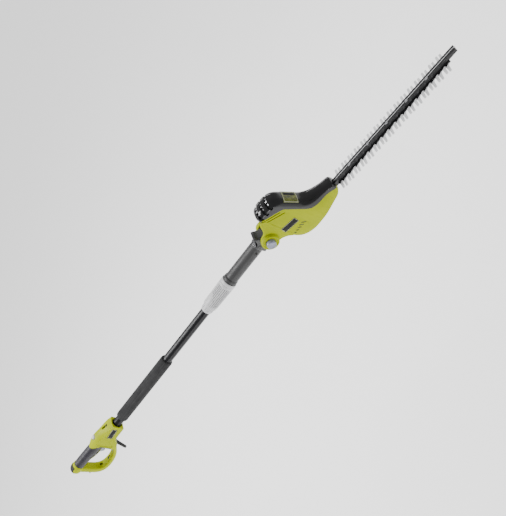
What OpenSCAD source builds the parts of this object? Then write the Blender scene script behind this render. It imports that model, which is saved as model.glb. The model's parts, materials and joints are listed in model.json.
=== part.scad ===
// Telescopic pole hedge trimmer with a tilting motor head.
// +X runs along the pole from the rear handle to the blade, +Z is the side of the motor cover, +Y is left.
// The origin lies on the pole axis at the middle of the foam front grip.

/* [Pole] */
// Outer diameter of the sliding inner tube
tube_d = 28; // [26:1:30]
// Wall of the inner tube
tube_wall = 1.5; // [1.2:0.1:2]
// Length of the foam front grip
foam_len = 280; // [240:10:280]
// Outer diameter of the foam front grip
foam_d = 38; // [35:1:42]
// Outer diameter of the upper tube
upper_d = 38; // [37:1:40]
// Travel of the telescopic pole
slide_travel = 150; // [100:10:150]

/* [Collar] */
// Distance from the grip centre to the lower end of the locking collar
collar_x = 362; // [350:1:370]
// Length of the locking collar
collar_len = 124; // [110:1:130]
// Largest diameter of the locking collar
collar_d = 46; // [44:1:48]

/* [Head] */
// Distance from the grip centre to the tilt axis
pivot_x = 671; // [660:1:690]
// Height of the tilt axis against the pole axis
pivot_z = -4; // [-8:1:0]
// Nose-down angle of the head as shown
rest_tilt = 3.5; // [0:0.5:10]
// Width of the motor housing
head_w = 56; // [54:1:60]
// Wall of the housing shells
shell_wall = 3; // [2.5:0.5:3]

/* [Cutter] */
// Distance from the tilt axis to the tip of the support rail
rail_tip = 684; // [640:1:700]
// Width of the support rail
rail_w = 18; // [16:1:20]
// Tooth pitch of both blades
tooth_pitch = 26; // [24:1:28]
// Number of tooth pairs on each side
tooth_count = 16; // [10:1:16]
// Width over the tooth tips
blade_w = 74; // [66:1:78]
// Thickness of one blade
blade_t = 2.2; // [1.8:0.1:2.2]
// Travel of each blade to either side
blade_travel = 6; // [4:1:6]

/* [Handle] */
// Half width of the rear handle housing
handle_half = 21; // [20:1:23]
// Outer diameter of the soft rear grip
grip_d = 34; // [33:1:36]
// Bore of the cord guard
cord_bore = 7.2; // [6.8:0.1:7.6]

/* [Hidden] */
$fn = 64;
eps = 0.02;

// Pole
tube_rear = -232;
tube_front = 595 - slide_travel;
upper_bore = 31;
upper_front = 626;
flange_len = 12;
knuckle_screw_x = 612;
bush_len = 20;
// Handle
mouth_x = -170;
grip_z = 14.5;
grip_front = -300;
grip_rear = -408;
core_d = 29;
core_bore = 22;
trigger_pin = [-284, 4];
trigger_pin_d = 3;
lock_x = -256;
guard_root = [-251, -30];
guard_lean = 22;
guard_len = 62;
screw_points = [[-200, 20], [-279, -43], [-318, -67.5], [-362, -68.5], [-414, -30]];
// Head, in its own frame: origin on the tilt axis, +X towards the blade tip
boss_d = 50;
arm_in = 18.3;
arm_out = 36;
knob_d = 27;
motor_x = 78;
crank_x = 105.5;
pinion_teeth = 12;
gear_teeth = 48;
gear_module = (crank_x - motor_x) * 2 / (pinion_teeth + gear_teeth);
crank_throw = blade_travel;
eccentric_d = 20;
rail_top = -48;
rail_h = 9;
rail_root = 140;
upper_blade_z = rail_top - rail_h - 0.3 - blade_t;
lower_blade_z = upper_blade_z - 0.3 - blade_t;
yoke_len = 66;
yoke_w = 46;
yoke_slot = 2 * (crank_throw + eccentric_d / 2 + blade_travel + 0.6);
yoke_gap = 2 * (crank_throw + eccentric_d / 2 + 0.6);
spine_half = 12;
tooth_first = 241;
tooth_lag = 10;
// One edge of a tooth and its mirror edge, from root to root on the left side
tooth_side = [
  [8, spine_half - 1], [4.2, spine_half + 6], [3, blade_w / 2 - 1], [1.8, blade_w / 2],
  [-1.8, blade_w / 2], [-3, blade_w / 2 - 1], [-4.2, spine_half + 6], [-8, spine_half - 1]
];
rail_screw_first = 289;
rail_screw_pitch = 73.8;
rail_screw_count = 5;
rail_screw_d = 5;
blade_slot_l = 2 * blade_travel + rail_screw_d + 1.4;
badge_x = 73;
badge_z = -12;
badge_tilt = 8;
vent_first = 50;
vent_pitch = 18;
head_screw_points = [[52, 48], [136, 6], [60, -60], [176, -68], [206, -66]];

// Outline of the whole head seen from the side
head_outline = [
  [44, 66], [39, 70], [40, 76], [52, 82], [66, 84], [92, 82], [108, 75], [119, 63], [141, 14],
  [150, -2], [168, -15], [200, -26], [225, -32], [227, -46], [222, -64], [205, -77], [156, -85], [91, -89],
  [63, -77], [46, -60], [42, -40], [36, -20], [36, 30], [44, 58]
];
// The same outline, one wall further in
head_cavity = [
  [48, 66], [43, 71], [53, 78], [66, 80.5], [91, 78.5], [106, 72], [115.5, 61], [127, 41], [138, 12.5],
  [148, -5], [167, -18.5], [199, -29.5], [221, -35.5], [219, -62], [203.5, -73.5], [155.5, -81.5], [92, -85.5],
  [66, -74.5], [49.5, -58.5], [45.5, -40], [40, -20], [40, 30], [48, 58]
];
// Everything above the joint line between the cover and the shells
cover_zone = [
  [30, 72], [44, 66.5], [101, 41], [119, 12], [140, -28], [160, -38], [230, -47.4], [240, 20], [150, 100], [30, 100]
];
// Side outline of the rear handle, with the finger loop
handle_outline = [
  [mouth_x, 21], [-200, 30], [-235, 37], [-262, 39], [-286, 35], [-300, 31], [grip_front, 3],
  [-299, 0], [-272, -6], [-272, -28], [-295, -46], [-318, -58], [-350, -61], [-385, -56], [-399, -42], [-402, -3],
  [-408, -3], [-408, 31], [-425, 31], [-434, 24], [-438, 10], [-434, -6], [-428, -44], [-408, -68], [-380, -77],
  [-340, -77], [-305, -70], [-276, -56], [-262, -44], [-240, -34], [-234, -20], [mouth_x, -20]
];
// Where the finger loop's own halves take over from the housing
loop_zone = [
  [-281, -30], [-267.8, -53.5], [-250, -62], [-250, -90], [-450, -90], [-450, -8], [-395, -8], [-395, -30]
];
handle_cavity = [
  [mouth_x - 4, 17.5], [-201, 26.5], [-236, 33.5], [-262, 35.5], [-285, 31.5], [-297, 29], [-297, 3],
  [-275, -2], [-275.5, -30], [-262, -38], [-243, -30.5], [-237, -17], [mouth_x - 4, -17]
];

pole_dark = [0.1, 0.1, 0.11];
foam_grey = [0.24, 0.24, 0.25];
lime = [0.72, 0.78, 0.1];
grip_dark = [0.2, 0.19, 0.23];
light_grey = [0.8, 0.8, 0.8];
mid_grey = [0.33, 0.33, 0.34];
steel = [0.7, 0.7, 0.72];
brass = [0.8, 0.65, 0.3];
copper = [0.75, 0.42, 0.22];
black = [0.07, 0.07, 0.08];

// A side outline drawn in x and z, made solid from y0 to y1
module side_solid(y0, y1) {
  translate([0, y1, 0]) rotate([90, 0, 0]) linear_extrude(height = y1 - y0) children();
}

// A cylinder along X from x0 to x1
module along_x(x0, x1, d) {
  translate([x0, 0, 0]) rotate([0, 90, 0]) cylinder(h = x1 - x0, d = d);
}

// A cylinder along Y from y0 to y1, on the point [x, z]
module along_y(point, y0, y1, d) {
  translate([point[0], y1, point[1]]) rotate([90, 0, 0]) cylinder(h = y1 - y0, d = d);
}

// Carries the head's own frame to its place on the pole
module on_head() {
  translate([pivot_x, 0, pivot_z]) rotate([0, rest_tilt, 0]) children();
}

// A ring along Z from z0 to z1
module ring(z0, z1, d_out, d_in) {
  translate([0, 0, z0]) difference() {
    cylinder(h = z1 - z0, d = d_out);
    translate([0, 0, -1]) cylinder(h = z1 - z0 + 2, d = d_in);
  }
}

// A compression spring along Z, as a stack of closed coils that touch
module coil_spring(d, wire, coils) {
  rotate_extrude() for (k = [0 : coils - 1]) translate([(d - wire) / 2, wire * (0.5 + k * 0.96)]) circle(d = wire, $fn = 24);
}

// A pan-head screw along Z: the head on top at z = 0, the thread below
module screw(d, len, head_d, head_h) {
  difference() {
    union() {
      cylinder(h = head_h, d = head_d, $fn = 32);
      translate([0, 0, -len]) cylinder(h = len + eps, d = d, $fn = 32);
    }
    translate([-head_d / 3, -0.5, head_h * 0.5]) cube([head_d / 1.5, 1, head_h]);
    translate([-0.5, -head_d / 3, head_h * 0.5]) cube([1, head_d / 1.5, head_h]);
  }
}

function tooth_ring(n, r_root, r_tip, phase) = [
  for (k = [0 : n - 1]) for (c = [[-0.3, r_root], [-0.13, r_tip], [0.13, r_tip], [0.3, r_root]])
    let (a = (k + phase + c[0]) * 360 / n) [c[1] * cos(a), c[1] * sin(a)]
];

// ---- Pole and front grip ----

module inner_tube() color(pole_dark) difference() {
  along_x(tube_rear, tube_front, tube_d);
  along_x(tube_rear - 1, tube_front + 1, tube_d - 2 * tube_wall);
}

// Nylon sliding bush, pressed on the upper end of the inner tube
module tube_bush() color(light_grey) difference() {
  union() {
    along_x(tube_front - bush_len, tube_front, upper_bore - 0.6);
    along_x(tube_front, tube_front + 3, upper_bore - 0.6);
  }
  along_x(tube_front - bush_len - 1, tube_front, tube_d);
  along_x(tube_front - 1, tube_front + 4, tube_d - 2 * tube_wall);
}

module foam_grip() color(foam_grey) rotate([0, 90, 0]) rotate_extrude() polygon([
  [tube_d / 2, -foam_len / 2], [foam_d / 2 - 3, -foam_len / 2], [foam_d / 2 - 0.8, -foam_len / 2 + 1.5],
  [foam_d / 2, -foam_len / 2 + 5], [foam_d / 2, foam_len / 2 - 5], [foam_d / 2 - 0.8, foam_len / 2 - 1.5],
  [foam_d / 2 - 3, foam_len / 2], [tube_d / 2, foam_len / 2]
]);

// ---- Rear handle ----

// The handle's solid body on one side of the parting plane
module handle_half_solid(side) {
  y0 = side > 0 ? 0 : -handle_half;
  loop_half = 17;
  loop0 = side > 0 ? 0 : -loop_half;
  // Housing, narrower towards the tube
  intersection() {
    side_solid(y0, y0 + handle_half) polygon(handle_outline);
    translate([0, 0, -90]) linear_extrude(height = 180) polygon([
      [mouth_x + 1, -19], [-215, -handle_half], [-300, -handle_half], [-300, handle_half], [-215, handle_half],
      [mouth_x + 1, 19]
    ]);
  }
  // Finger loop and rear ring
  intersection() {
    side_solid(loop0, loop0 + loop_half) polygon(handle_outline);
    translate([-440, -30, -80]) cube([188, 60, 120]);
  }
  // Core of the rear grip
  intersection() {
    translate([0, 0, grip_z]) along_x(grip_rear - 8, grip_front + 2, core_d);
    translate([-450, side > 0 ? 0 : -30, -30]) cube([160, 30, 80]);
  }
}

module handle_screw_cuts() {
  for (p = screw_points) along_y(p, -30, 30, 3.2);
  for (p = screw_points) along_y(p, -30, -11, 7);
}

module handle_shell(side) {
  // Bearing for the trigger's pin
  difference() {
    along_y(trigger_pin, side > 0 ? 7.6 : -19, side > 0 ? 19 : -7.6, 7.6);
    along_y(trigger_pin, -20, 20, trigger_pin_d + 0.12);
  }
  difference() {
    handle_half_solid(side);
    // Housing cavity
    side_solid(-handle_half + shell_wall, handle_half - shell_wall) polygon(handle_cavity);
    // Bore through the grip core
    translate([0, 0, grip_z]) along_x(grip_rear + 6, grip_front + 6, core_bore);
    // Socket for the pole
    along_x(-226, mouth_x + 5, tube_d);
    // Trigger window under the grip
    translate([-318, -7.4, -12]) cube([40, 14.8, 24]);
    // Lock-off button window
    translate([lock_x, 0, 20]) cylinder(h = 30, d = 13);
    // Cord guard passage
    translate([guard_root[0], 0, guard_root[1]]) rotate([0, guard_lean, 0]) translate([0, 0, -40]) cylinder(h = 60, d = 16.6);
    side_solid(-40, 40) polygon(loop_zone);
    handle_screw_cuts();
    // Badge recess
    translate([-204, side * 24.4, 3]) rotate([0, -4, 0]) cube([38, 10, 13.5], center = true);
  }
}

// One half of the finger loop, screwed to the other half
module finger_loop(side) difference() {
  intersection() {
    handle_half_solid(side);
    side_solid(-40, 40) polygon(loop_zone);
  }
  handle_screw_cuts();
}

module handle_left() color(lime) handle_shell(1);
module handle_right() color(lime) handle_shell(-1);
module finger_loop_left() color(lime) finger_loop(1);
module finger_loop_right() color(lime) finger_loop(-1);

module rear_grip_sleeve() color(grip_dark) difference() {
  translate([0, 0, grip_z]) along_x(grip_rear + 0.2, grip_front - 0.2, grip_d);
  translate([0, 0, grip_z]) along_x(grip_rear - 1, grip_front + 1, core_d);
  translate([-319, -8, -12]) cube([30, 16, 26]);
}

// Black rubber bumper on the rear ring
module rear_end_cap() color(black) difference() {
  side_solid(-12, 12) polygon([[-425, 31.3], [-434.2, 24], [-438.2, 10], [-435, -4], [-439, -3], [-442, 10], [-438, 26], [-427, 34.5]]);
}

module switch_body() color(black) difference() {
  translate([-268, -10, -2]) cube([33, 20, 16]);
  for (x = [-264, -239]) along_y([x, 6], -11, 11, 3);
}

// Finger trigger: it hinges at its upper front corner and is squeezed upwards
module trigger() color(mid_grey) union() {
  side_solid(-6.8, 6.8) polygon([
    [-281, 7], [-287, 7], [-300, 2], [-314, -6], [-314, -9.5], [-309, -14], [-303, -23], [-296, -24], [-291, -20],
    [-287, -2], [-281, 1]
  ]);
  along_y(trigger_pin, -12, 12, trigger_pin_d);
}

module trigger_spring() color(steel) translate([-304, 0, 7.5]) coil_spring(6, 1, 4);

// Lock-off button in the top of the housing, pressed down
module lock_button() color(light_grey) union() {
  translate([lock_x, 0, 33]) cylinder(h = 8.5, d = 12.4);
  translate([lock_x, 0, 25]) cylinder(h = 8.2, d = 7);
}

module lock_spring() color(steel) translate([lock_x, 0, 14.2]) coil_spring(6.4, 1, 6);

// Rubber cord guard with its flange held between the shells
module cord_guard() color(black) translate([guard_root[0], 0, guard_root[1]]) rotate([0, guard_lean, 0]) {
  rotate_extrude() polygon([
    [cord_bore / 2, 16], [8.2, 16], [8.2, -4], [6.4, -6], [5.2, -30], [4.9, -guard_len + 2],
    [4.6, -guard_len], [cord_bore / 2, -guard_len]
  ]);
}

// Clamp that grips the supply lead inside the housing
module cord_clamp() color(mid_grey) difference() {
  translate([-250, -12, -11.4]) cube([14, 24, 5]);
  translate([guard_root[0], 0, guard_root[1]]) rotate([0, guard_lean, 0]) cylinder(h = 40, d = cord_bore + 0.2);
}

module handle_screws() color(steel) {
  for (p = screw_points) translate([p[0], -11, p[1]]) rotate([90, 0, 0]) screw(3, 16, 6, 2);
}

// Blank badge plates on both sides of the housing
module handle_badges() color(black) {
  for (side = [-1, 1]) translate([-204, side * 20.1, 3]) rotate([0, -4, 0]) cube([37, 1.2, 12.5], center = true);
}

// Lead from the switch to the pole, coiled inside the inner tube so that the pole can slide
module pole_lead() color(black) {
  along_x(-231, -140, 6);
  along_x(-140, 284, 18);
}

// ---- Upper pole, collar and knuckle ----

module upper_tube() color(mid_grey) difference() {
  union() {
    along_x(collar_x + collar_len, upper_front, upper_d);
    along_x(collar_x + collar_len, collar_x + collar_len + flange_len, upper_d + 4);
    along_x(collar_x + 30, collar_x + collar_len, upper_d - 1.4);
  }
  along_x(collar_x, upper_front + 1, upper_bore);
  for (a = [90, 270]) rotate([a, 0, 0]) translate([knuckle_screw_x, 0, 9]) cylinder(h = 14, d = 4.1, $fn = 32);
}

// Split nylon collet squeezed on the inner tube by the collar
module collet() color(light_grey) difference() {
  union() {
    along_x(collar_x + 4, collar_x + 29.6, upper_bore + 1);
    along_x(collar_x + 21, collar_x + 29.6, upper_d - 1.4);
  }
  along_x(collar_x, collar_x + 40, tube_d + 0.7);
  for (a = [45 : 90 : 315]) rotate([a, 0, 0]) translate([collar_x + 3, 10, -0.7]) cube([20, 20, 1.4]);
}

module locking_collar() color([0.78, 0.79, 0.8]) difference() {
  rotate([0, 90, 0]) rotate_extrude() polygon([
    [17.2, collar_x], [18.4, collar_x + 2], [18.6, collar_x + 17], [20.3, collar_x + 18.5], [21.2, collar_x + 30],
    [22.4, collar_x + 62], [collar_d / 2, collar_x + 112], [collar_d / 2, collar_x + collar_len - 0.4],
    [upper_d / 2 - 0.3, collar_x + collar_len - 0.4], [upper_d / 2 - 0.3, collar_x + 20.5],
    [16.4, collar_x + 20], [16.4, collar_x]
  ]);
  // Castellations at the lower ring
  for (a = [0 : 30 : 330]) rotate([a, 0, 0]) translate([collar_x + 9, -1.6, 17.9]) cube([8, 3.2, 4]);
  // Grip grooves on both sides
  for (side = [0, 180]) for (k = [-5 : 5]) rotate([side + 90 + k * 9, 0, 0])
    translate([collar_x + 30, -0.5, 22.2]) cube([66, 1, 2]);
}

// Knuckle: plug in the upper tube, shoulders and tongue between the head's arms
module knuckle() color(mid_grey) difference() {
  union() {
    along_x(600, upper_front, upper_bore);
    along_x(upper_front, 638, upper_d + 1);
    // Tongue with its round end
    translate([pivot_x, 0, pivot_z]) {
      along_y([0, 0], -17.7, 17.7, 44);
      side_solid(-17.7, 17.7) polygon([[-34, -14], [0, -22], [10, -16], [10, 16], [0, 22], [-12, 30], [-20, 38], [-25, 36], [-34, 22]]);
    }
  }
  along_x(590, 652, 16);
  translate([pivot_x, 0, pivot_z]) along_y([0, 0], -20, 20, 10.06);
  // Cable way past the pivot bolt
  translate([pivot_x - 22, -5, pivot_z + 7]) cube([60, 10, 8.5]);
  // Seat of the ratchet disc
  translate([pivot_x, 0, pivot_z]) along_y([0, 0], -18, -13.6, 36);
  for (a = [90, 270]) rotate([a, 0, 0]) translate([knuckle_screw_x, 0, 9]) cylinder(h = 14, d = 4.1, $fn = 32);
}

module knuckle_screws() color(steel) {
  for (a = [90, 270]) rotate([a, 0, 0]) translate([knuckle_screw_x, 0, upper_d / 2]) screw(4, 9, 7, 1.6);
}

// Toothed disc that holds the head's angle
module ratchet_disc() color(steel) translate([pivot_x, -13.6, pivot_z]) rotate([90, 0, 0]) difference() {
  union() {
    cylinder(h = 1.8, d = 35.4);
    linear_extrude(height = 3.8) polygon(tooth_ring(24, 13.6, 15.6, 0));
  }
  translate([0, 0, -1]) cylinder(h = 8, d = 20);
}

module upper_lead() color(black) along_x(452, 640, 6);

// ---- Head housing ----

// Solid outline of the head, its arms left out
module head_body(half) {
  intersection() {
    side_solid(-half, half) polygon(head_outline);
    translate([0, 0, -100]) linear_extrude(height = 200) polygon([
      [30, -half + 2], [44, -half], [150, -half], [190, -22], [221, -20], [230, -12],
      [230, 12], [221, 20], [190, 22], [150, half], [44, half], [30, half - 2]
    ]);
  }
}

module head_hollow() {
  intersection() {
    side_solid(-head_w / 2 + shell_wall, head_w / 2 - shell_wall) polygon(head_cavity);
    translate([0, 0, -100]) linear_extrude(height = 200) polygon([
      [30, -head_w / 2 + shell_wall], [150, -head_w / 2 + shell_wall], [190, -19], [222, -17],
      [222, 17], [190, 19], [150, head_w / 2 - shell_wall], [30, head_w / 2 - shell_wall]
    ]);
  }
}

// One arm of the clevis, with its round boss
module head_arm(side) {
  y0 = side > 0 ? arm_in : -arm_out;
  w = arm_out - arm_in;
  along_y([0, 0], y0, y0 + w, boss_d);
  y1 = side > 0 ? arm_in : -arm_out + 2;
  side_solid(y1, y1 + w - 2) polygon([[-4, 24], [-2, -24], [20, -26], [38, -40], [45, -26], [45, 30], [42, 46], [34, 48], [16, 30]]);
}

module head_shell(side) {
  difference() {
    union() {
      intersection() {
        difference() {
          head_body(head_w / 2);
          side_solid(-40, 40) polygon(cover_zone);
          head_hollow();
        }
        translate([-10, side > 0 ? 0 : -60, -100]) cube([260, 60, 200]);
      }
      difference() {
        head_arm(side);
        side_solid(-head_w / 2 + shell_wall, head_w / 2 - shell_wall) polygon([
          [34, -40], [90, -40], [90, 60], [34, 60]
        ]);
      }
    }
    // Room for the knuckle's round end
    along_y([0, 0], -arm_in, arm_in, 50);
    // Pivot bolt and button or nut pocket
    along_y([0, 0], -60, 60, 10.06);
    along_y([0, 0], -60, -26, knob_d + 1);
    along_y([0, 0], 30, 60, 18);
    // Opening in the nose for the rail and blades
    translate([200, -rail_w / 2 - 0.3, lower_blade_z - 3.4]) cube([40, rail_w + 0.6, rail_top - lower_blade_z + 4.6]);
    translate([200, -16, lower_blade_z - 0.6]) cube([40, 32, 2 * blade_t + 1.5]);
    // Side vents
    for (k = [0 : 4]) translate([56 + 9.5 * k, side * 30, -42]) rotate([0, 40, 0]) cube([3, 12, 5 + 1.4 * k], center = true);
    // Screw holes and counterbores
    for (p = head_screw_points) along_y(p, -40, 40, 3.2);
    for (p = head_screw_points) along_y(p, -60, -15, 7);
    // Badge recess
    translate([badge_x, side * 28.3, badge_z]) rotate([0, badge_tilt, 0]) cube([47, 2, 13], center = true);
    // Cable way from the knuckle
    translate([28, -13, -6]) cube([20, 26, 24]);
    // Seats of the motor plate and base cover
    translate([42, -26, -28.2]) cube([106, 52, 4.4]);
  }
}

module head_left() color(lime) on_head() head_shell(1);
module head_right() color(lime) on_head() head_shell(-1);

// The middle of the label, on the cover's steep front face
module label_place() {
  translate([129.7, 0, 38.3]) rotate([0, 65.8, 0]) children();
}

module motor_cover() color(black) on_head() difference() {
  intersection() {
    difference() {
      head_body(head_w / 2);
      head_hollow();
    }
    side_solid(-40, 40) polygon(cover_zone);
  }
  // Three wide vent slots across the dome
  for (k = [0 : 2]) translate([vent_first + vent_pitch * k, -40, 73 - 8 * k]) rotate([0, 24, 0]) cube([8, 80, 40]);
  // Seat of the label plate
  label_place() cube([36.2, 32.2, 0.8], center = true);
  translate([200, -rail_w / 2 - 0.3, rail_top - 5]) cube([40, rail_w + 0.6, 6.2]);
}

// Blank label plate on the cover's sloping face
module cover_label() color([0.3, 0.32, 0.1]) on_head() label_place() cube([36, 32, 0.8], center = true);

// Blank badge plates on both sides of the head
module head_badges() color(black) on_head() {
  for (side = [-1, 1]) translate([badge_x, side * 28, badge_z]) rotate([0, badge_tilt, 0]) cube([46, 1.2, 12], center = true);
}

module head_screws() color(steel) on_head() {
  for (p = head_screw_points) translate([p[0], -15, p[1]]) rotate([90, 0, 0]) screw(3, 20, 6, 2);
}

// ---- Tilt lock ----

module pivot_bolt() color(steel) on_head() {
  along_y([0, 0], -26, 44, 10);
  along_y([0, 0], -27, -26, 16);
}

module pivot_nut() color(steel) on_head() difference() {
  translate([0, 36, 0]) rotate([90, 0, 0]) cylinder(h = 6, d = 17, $fn = 6);
  along_y([0, 0], 20, 50, 10);
}

// Round release button on the right side, pressed towards the pole
module tilt_button() color([0.42, 0.47, 0.56]) on_head() difference() {
  union() {
    along_y([0, 0], -46, -32, knob_d);
    along_y([0, 0], -47, -45, knob_d - 6);
  }
  along_y([0, 0], -36.5, -31, 20);
}

module button_spring() color(steel) on_head() translate([0, -27, 0]) rotate([90, 0, 0]) difference() {
  coil_spring(17.5, 1.2, 4);
  translate([0, 0, -2]) cylinder(h = 1.99, d = 30);
}

// ---- Motor and gear train ----

module stator() color(mid_grey) on_head() translate([motor_x, 0, 0]) difference() {
  cylinder(h = 50, d = 48);
  translate([0, 0, -1]) cylinder(h = 60, d = 29);
  for (x = [-1, 1]) for (y = [-1, 1]) translate([x * 17, y * 17, -1]) cylinder(h = 60, d = 5, $fn = 32);
}

// Brush holders with their carbon brushes, on both sides of the commutator
module brush_gear() color(brass) on_head() translate([motor_x, 0, 58]) difference() {
  for (s = [-1, 1]) translate([s * 16.2 - 5, -4, -4]) cube([10, 8, 8]);
  cylinder(h = 30, d = 19, center = true);
}

module top_bearing() color(steel) on_head() translate([motor_x, 0, 0]) ring(68, 74, 19, 7);
module bottom_bearing() color(steel) on_head() translate([motor_x, 0, 0]) ring(-27.8, -21.8, 22, 8);

// Plate between the motor and the gears; it carries the lower bearing and the crank's upper bush
module motor_plate() color([0.6, 0.6, 0.6]) on_head() difference() {
  union() {
    translate([50, -24.6, -28]) cube([84, 49.2, 4]);
    translate([motor_x, 0, -28]) cylinder(h = 8, d = 28);
  }
  translate([motor_x, 0, -30]) cylinder(h = 12, d = 22);
  translate([crank_x, 0, -30]) cylinder(h = 12, d = 13);
}

module armature() color([0.45, 0.45, 0.47]) on_head() translate([motor_x, 0, 0]) difference() {
  union() {
    translate([0, 0, 5]) cylinder(h = 40, d = 27.6);
    translate([0, 0, -1]) cylinder(h = 52, d = 22);
  }
  translate([0, 0, -2]) cylinder(h = 60, d = 8);
  for (a = [0 : 45 : 315]) rotate([0, 0, a]) translate([12.4, -0.8, 4]) cube([3, 1.6, 42]);
}

module commutator() color(copper) on_head() translate([motor_x, 0, 0]) difference() {
  translate([0, 0, 52]) cylinder(h = 12, d = 18);
  translate([0, 0, 50]) cylinder(h = 16, d = 8);
  for (a = [0 : 15 : 345]) rotate([0, 0, a]) translate([8.4, -0.2, 51]) cube([2, 0.4, 14]);
}

module motor_shaft() color(steel) on_head() translate([motor_x, 0, 0]) {
  translate([0, 0, -30]) cylinder(h = 96, d = 8);
  translate([0, 0, 66 - eps]) cylinder(h = 8, d = 7);
  translate([0, 0, -43]) linear_extrude(height = 13 + eps)
    polygon(tooth_ring(pinion_teeth, gear_module * (pinion_teeth / 2 - 0.95), gear_module * (pinion_teeth / 2 + 0.6), 0));
}

module fan() color(black) on_head() translate([motor_x, 0, 0]) difference() {
  union() {
    translate([0, 0, -18]) cylinder(h = 1.6, d = 44);
    translate([0, 0, -18]) cylinder(h = 14, d = 14);
    for (a = [0 : 30 : 330]) rotate([0, 0, a]) translate([6, -0.6, -17]) cube([15.5, 1.2, 9]);
  }
  translate([0, 0, -20]) cylinder(h = 20, d = 8);
}

module gear_wheel() color(steel) on_head() translate([crank_x, 0, 0]) difference() {
  translate([0, 0, -41]) linear_extrude(height = 8)
    polygon(tooth_ring(gear_teeth, gear_module * (gear_teeth / 2 - 0.95), gear_module * (gear_teeth / 2 + 0.6), 0.5));
  translate([0, 0, -50]) cylinder(h = 20, d = 10);
}

// Crankshaft with two eccentrics, half a turn apart
module crank_shaft() color(steel) on_head() translate([crank_x, 0, 0]) {
  translate([0, 0, -80]) cylinder(h = 56.5, d = 10);
  translate([0, crank_throw, upper_blade_z - 0.1]) cylinder(h = blade_t + 0.2, d = eccentric_d);
  translate([0, -crank_throw, lower_blade_z - 0.1]) cylinder(h = blade_t + 0.2, d = eccentric_d);
}

module crank_bushes() color(brass) on_head() translate([crank_x, 0, 0]) {
  ring(-27.9, -23.6, 13, 10.06);
  ring(-80, -72, 16, 10.06);
}

// Cover under the gears; it carries the crank's lower bush
module base_cover() color(mid_grey) on_head() difference() {
  translate([80, -24.6, -79.6]) cube([68, 49.2, 7]);
  translate([crank_x, 0, -90]) cylinder(h = 30, d = 16);
}

// ---- Cutter ----

module rail_screw_places() {
  for (k = [0 : rail_screw_count - 1]) translate([rail_screw_first + k * rail_screw_pitch, 0, 0]) children();
}

// Inverted channel that carries both blades
module support_rail() color([0.1, 0.1, 0.1]) on_head() difference() {
  union() {
    translate([rail_root, -rail_w / 2, rail_top - rail_h]) cube([rail_tip - rail_root, rail_w, rail_h]);
    translate([rail_root + 4, -1, rail_top - eps]) cube([rail_tip - rail_root - 8, 2, 0.8]);
  }
  translate([rail_root + 10, -5.5, rail_top - rail_h - 1]) cube([80, 11, 5]);
  rail_screw_places() translate([0, 0, rail_top - 3]) cylinder(h = 6, d = 10.4);
  rail_screw_places() translate([0, 0, rail_top - 20]) cylinder(h = 40, d = rail_screw_d);
}

module rail_screws() color(steel) on_head() rail_screw_places() {
  translate([0, 0, rail_top - 3]) cylinder(h = 2.6, d = 10, $fn = 32);
  translate([0, 0, lower_blade_z - 6]) cylinder(h = rail_top - lower_blade_z + 3.2, d = rail_screw_d);
}

module rail_nuts() color(steel) on_head() rail_screw_places() difference() {
  union() {
    translate([0, 0, lower_blade_z - 1.4]) cylinder(h = 1.1, d = 13);
    translate([0, 0, lower_blade_z - 4.8]) cylinder(h = 3.6, d = 9.2, $fn = 6);
  }
  translate([0, 0, lower_blade_z - 6]) cylinder(h = 8, d = rail_screw_d);
}

// One reciprocating blade: yoke, spine and teeth on both sides
module blade(z, lag) {
  difference() {
    translate([0, 0, z]) linear_extrude(height = blade_t) union() {
      translate([crank_x - yoke_len / 2, -yoke_w / 2]) square([yoke_len, yoke_w]);
      translate([crank_x, -8]) square([rail_tip - 30 - crank_x, 16]);
      translate([tooth_first - 8, -spine_half]) square([rail_tip - 30 - tooth_first + 8, 2 * spine_half]);
      for (k = [0 : tooth_count - 1]) translate([tooth_first + lag + k * tooth_pitch, 0])
        polygon(concat(tooth_side, [for (p = tooth_side) -p]));
    }
    // Opening for the eccentric
    translate([crank_x - yoke_slot / 2, -yoke_gap / 2, z - 1]) cube([yoke_slot, yoke_gap, blade_t + 2]);
    // Slots for the rail screws
    rail_screw_places() translate([-blade_slot_l / 2, -rail_screw_d / 2 - 0.4, z - 1])
      cube([blade_slot_l, rail_screw_d + 0.8, blade_t + 2]);
  }
}

module upper_blade() color(steel) on_head() blade(upper_blade_z, 0);
module lower_blade() color(steel) on_head() blade(lower_blade_z, tooth_lag);

// Lead from the knuckle to the brushes
module motor_lead() color(black) on_head() {
  translate([36, 10, 10]) along_x(0, 14, 4);
  translate([50, 10, 8]) cylinder(h = 46, d = 4);
}

inner_tube();
tube_bush();
foam_grip();
handle_left();
handle_right();
finger_loop_left();
finger_loop_right();
rear_grip_sleeve();
rear_end_cap();
switch_body();
trigger();
trigger_spring();
lock_button();
lock_spring();
cord_guard();
cord_clamp();
handle_screws();
handle_badges();
pole_lead();
upper_tube();
collet();
locking_collar();
knuckle();
knuckle_screws();
ratchet_disc();
upper_lead();
head_left();
head_right();
motor_cover();
cover_label();
head_badges();
head_screws();
pivot_bolt();
pivot_nut();
tilt_button();
button_spring();
stator();
brush_gear();
top_bearing();
bottom_bearing();
motor_plate();
armature();
commutator();
motor_shaft();
fan();
gear_wheel();
crank_shaft();
crank_bushes();
base_cover();
support_rail();
rail_screws();
rail_nuts();
upper_blade();
lower_blade();
motor_lead();
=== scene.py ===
import json
import math

import bmesh
import bpy
from mathutils import Matrix, Vector


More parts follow.
